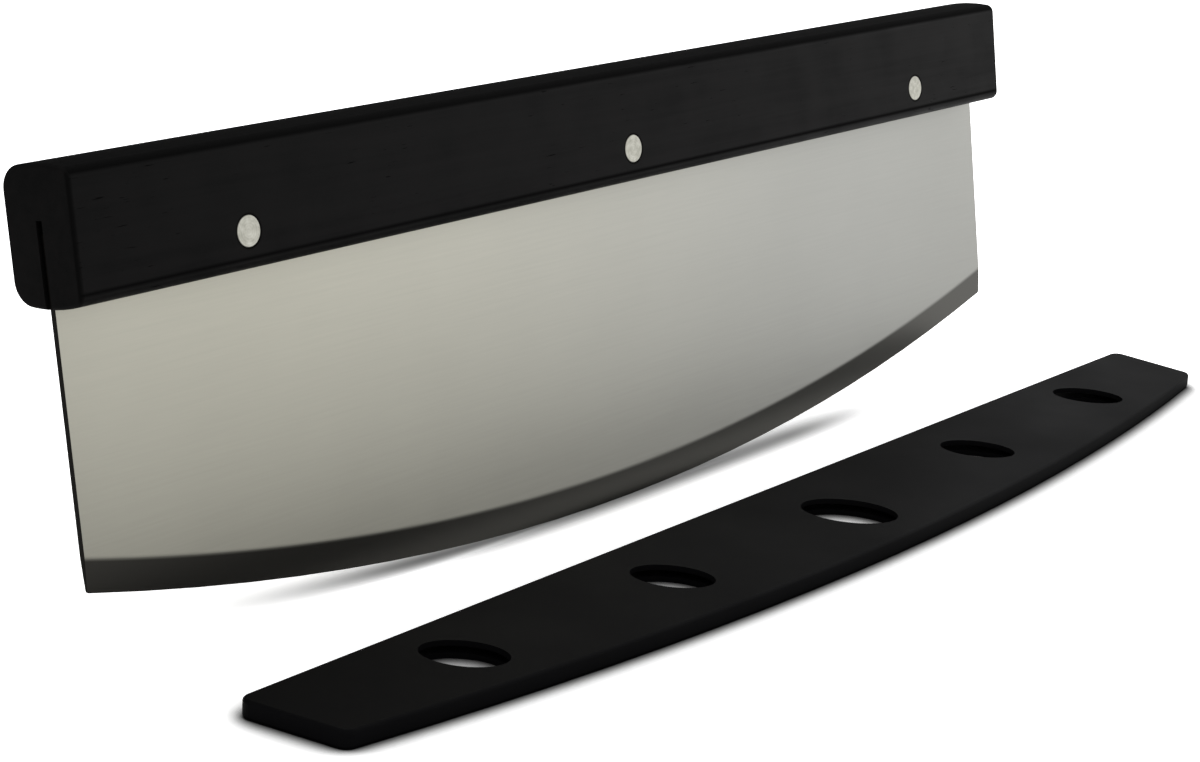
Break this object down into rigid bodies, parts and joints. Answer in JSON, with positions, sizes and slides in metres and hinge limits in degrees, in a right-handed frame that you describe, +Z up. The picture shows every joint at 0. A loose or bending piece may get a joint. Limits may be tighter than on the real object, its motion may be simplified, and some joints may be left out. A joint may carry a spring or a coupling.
{
  "type": "rocking pizza knife",
  "caption": "Rocking pizza knife: a long steel blade with a curved edge, riveted into a dark wooden bar handle, with a flat plastic blade guard lying in front of it.",
  "frame": {"origin": "middle of the cutting edge, where the edge stands on the table", "axes": "+X along the handle to its right end, -Y towards the front where the guard lies, +Z up from the table; the knife leans back 10 degrees about X and rocks 0.28 degrees onto its left end"},
  "size_m": [0.3873, 0.0987, 0.1072],
  "materials": {
    "blade_steel": "brushed along the blade, ground edge",
    "handle_wood": "black stain under satin lacquer",
    "rivet_steel": "ground flush with the wood",
    "guard_plastic": "moulded, satin"
  },
  "bodies": {
    "knife": {"blade": "blade_steel", "handle": "handle_wood", "left_rivet_post": "rivet_steel", "left_rivet_sleeve": "rivet_steel", "middle_rivet_post": "rivet_steel", "middle_rivet_sleeve": "rivet_steel", "right_rivet_post": "rivet_steel", "right_rivet_sleeve": "rivet_steel"},
    "guard": {"blade_guard": "guard_plastic"}
  },
  "joints": [
    {"name": "guard_lift", "type": "slide", "parent": "knife", "child": "guard", "axis": [0, 0, 1], "range_m": [0, 0.16]}
  ]
}
